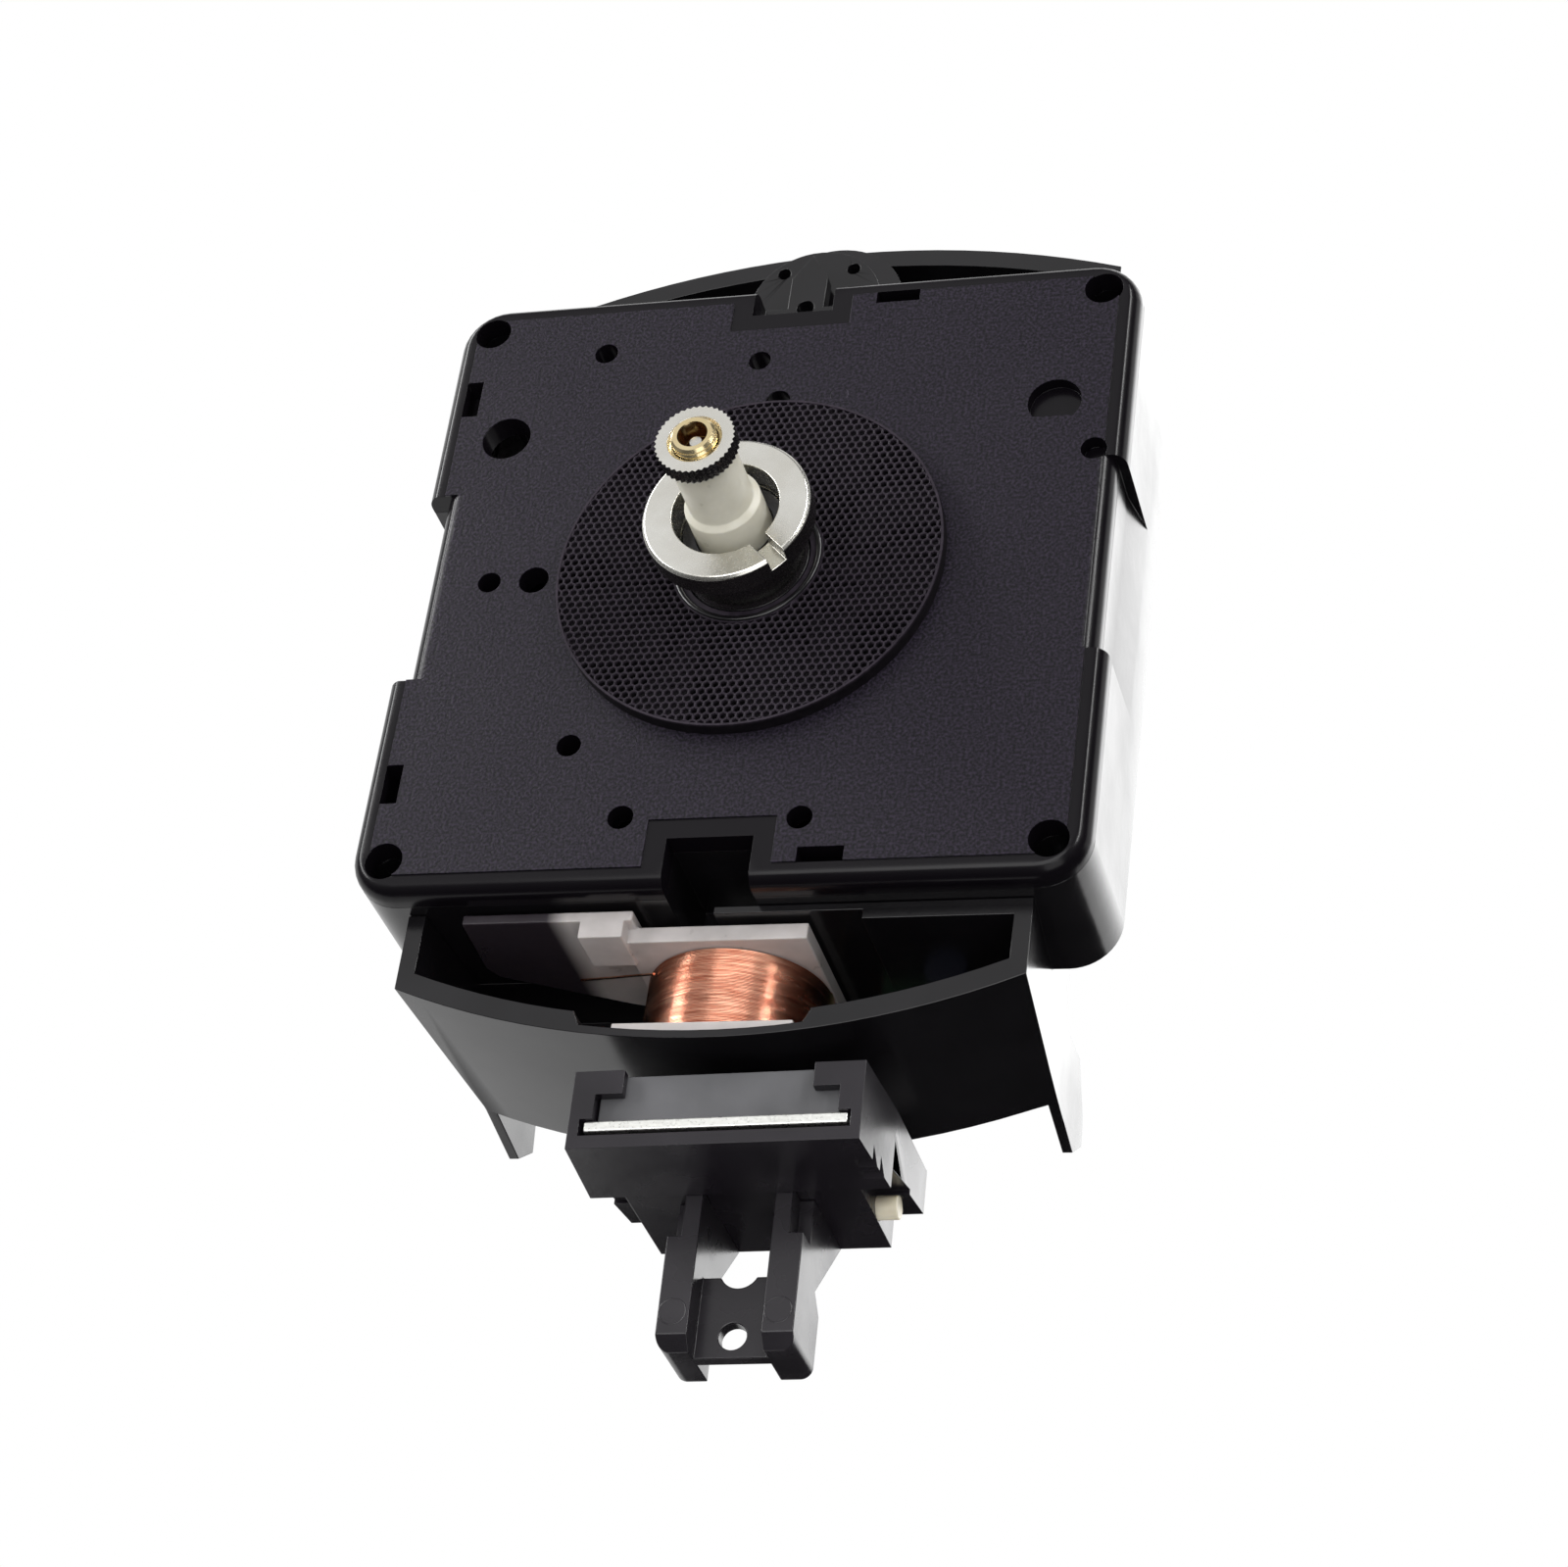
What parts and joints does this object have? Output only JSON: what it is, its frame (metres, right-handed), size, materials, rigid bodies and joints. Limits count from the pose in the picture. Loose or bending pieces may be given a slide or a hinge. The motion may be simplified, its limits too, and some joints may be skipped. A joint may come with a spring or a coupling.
{
  "type": "quartz pendulum clock movement",
  "caption": "Square quartz clock movement with hand shafts, dial nut, coil-driven pendulum unit and swinging rod hanger.",
  "frame": {"origin": "on the hand axis, at the dial face of the front cover", "axes": "+Z out of the dial face along the hand shafts, +Y to twelve o'clock, +X to three o'clock"},
  "size_m": [0.056, 0.1016, 0.0461],
  "materials": {
    "cover_black": "fine-grained matt black moulding",
    "case_black": "smooth satin black moulding",
    "rubber": "dimpled matt rubber",
    "nickel": "fine satin nickel plating",
    "steel": "turned steel",
    "brass": "turned brass",
    "white_plastic": "milky white moulding",
    "wheel_plastic": "natural white moulding",
    "copper": "enamelled copper wire",
    "magnet_grey": "plain grey sintered magnet",
    "board_green": "coated circuit board",
    "blue_sleeve": "shrunk plastic sleeve",
    "cream_plastic": "cream moulding"
  },
  "bodies": {
    "movement": {"front_cover": "cover_black", "movement_case": "case_black", "centre_bush": "case_black", "rubber_washer": "rubber", "train_plate": "case_black", "stator": "steel", "core_bar": "steel", "motor_bobbin": "case_black", "motor_coil": "copper", "circuit_board": "board_green", "quartz_crystal": "steel", "chip_cover": "case_black", "contact_plus": "nickel", "contact_minus": "nickel", "pendulum_housing": "case_black", "coil_bobbin": "white_plastic", "coil_body": "copper", "coil_wire": "copper", "coil_lead": "copper", "pendulum_board": "board_green", "drive_capacitor": "blue_sleeve", "pivot_pin": "steel", "pivot_clip": "steel"},
    "ring_nut": {"ring_nut": "nickel"},
    "hour": {"hour_wheel": "white_plastic"},
    "minute": {"minute_arbor": "brass"},
    "hand_nut": {"hand_nut": "nickel"},
    "minute_wheel": {"minute_wheel": "wheel_plastic"},
    "seconds": {"seconds_arbor": "steel", "seconds_wheel": "wheel_plastic"},
    "third": {"third_wheel": "wheel_plastic"},
    "intermediate": {"intermediate_wheel": "wheel_plastic"},
    "rotor": {"rotor_pinion": "wheel_plastic", "rotor_magnet": "magnet_grey"},
    "motion": {"motion_wheel": "wheel_plastic"},
    "setting": {"setting_knob": "case_black"},
    "hanger": {"hanger_arm": "case_black", "magnet_holder": "case_black", "rod_clip": "case_black", "magnet": "magnet_grey", "keeper_plate": "steel", "holder_plug": "cream_plastic"}
  },
  "joints": [
    {"name": "ring_nut_turn", "type": "hinge", "parent": "movement", "child": "ring_nut", "pos_m": [0, 0, 0.006], "axis": [0, 0, 1], "continuous": true},
    {"name": "seconds_turn", "type": "hinge", "parent": "movement", "child": "seconds", "pos_m": [0, 0, -0.0085], "axis": [0, 0, 1], "continuous": true},
    {"name": "third_turn", "type": "hinge", "parent": "movement", "child": "third", "pos_m": [0.00677, -0.00246, -0.0075], "axis": [0, 0, 1], "continuous": true},
    {"name": "intermediate_turn", "type": "hinge", "parent": "movement", "child": "intermediate", "pos_m": [0, -0.0072, -0.0095], "axis": [0, 0, 1], "continuous": true},
    {"name": "rotor_turn", "type": "hinge", "parent": "movement", "child": "rotor", "pos_m": [-0.00296, -0.01354, -0.009], "axis": [0, 0, 1], "continuous": true},
    {"name": "minute_wheel_turn", "type": "hinge", "parent": "movement", "child": "minute_wheel", "pos_m": [0, 0, -0.0065], "axis": [0, 0, 1], "continuous": true},
    {"name": "minute_turn", "type": "hinge", "parent": "movement", "child": "minute", "pos_m": [0, 0, 0], "axis": [0, 0, 1], "continuous": true},
    {"name": "hour_turn", "type": "hinge", "parent": "movement", "child": "hour", "pos_m": [0, 0, 0], "axis": [0, 0, 1], "continuous": true},
    {"name": "motion_turn", "type": "hinge", "parent": "movement", "child": "motion", "pos_m": [-0.00552, -0.00552, -0.0035], "axis": [0, 0, 1], "continuous": true},
    {"name": "setting_turn", "type": "hinge", "parent": "movement", "child": "setting", "pos_m": [-0.0132, -0.00687, -0.012], "axis": [0, 0, 1], "continuous": true},
    {"name": "hand_nut_turn", "type": "hinge", "parent": "minute", "child": "hand_nut", "pos_m": [0, 0, 0.015], "axis": [0, 0, 1], "continuous": true},
    {"name": "hanger_swing", "type": "hinge", "parent": "movement", "child": "hanger", "pos_m": [0, 0.0332, -0.0226], "axis": [0, 0, 1], "range_deg": [-14.5, 11.5]}
  ],
  "couplings": [
    {"joint": "third_turn", "follows": "seconds_turn", "ratio": -0.13333},
    {"joint": "intermediate_turn", "follows": "seconds_turn", "ratio": -6},
    {"joint": "rotor_turn", "follows": "seconds_turn", "ratio": 30},
    {"joint": "minute_wheel_turn", "follows": "seconds_turn", "ratio": 0.016667},
    {"joint": "motion_turn", "follows": "minute_turn", "ratio": -0.33333},
    {"joint": "hour_turn", "follows": "minute_turn", "ratio": 0.083333},
    {"joint": "setting_turn", "follows": "minute_turn", "ratio": 1}
  ]
}
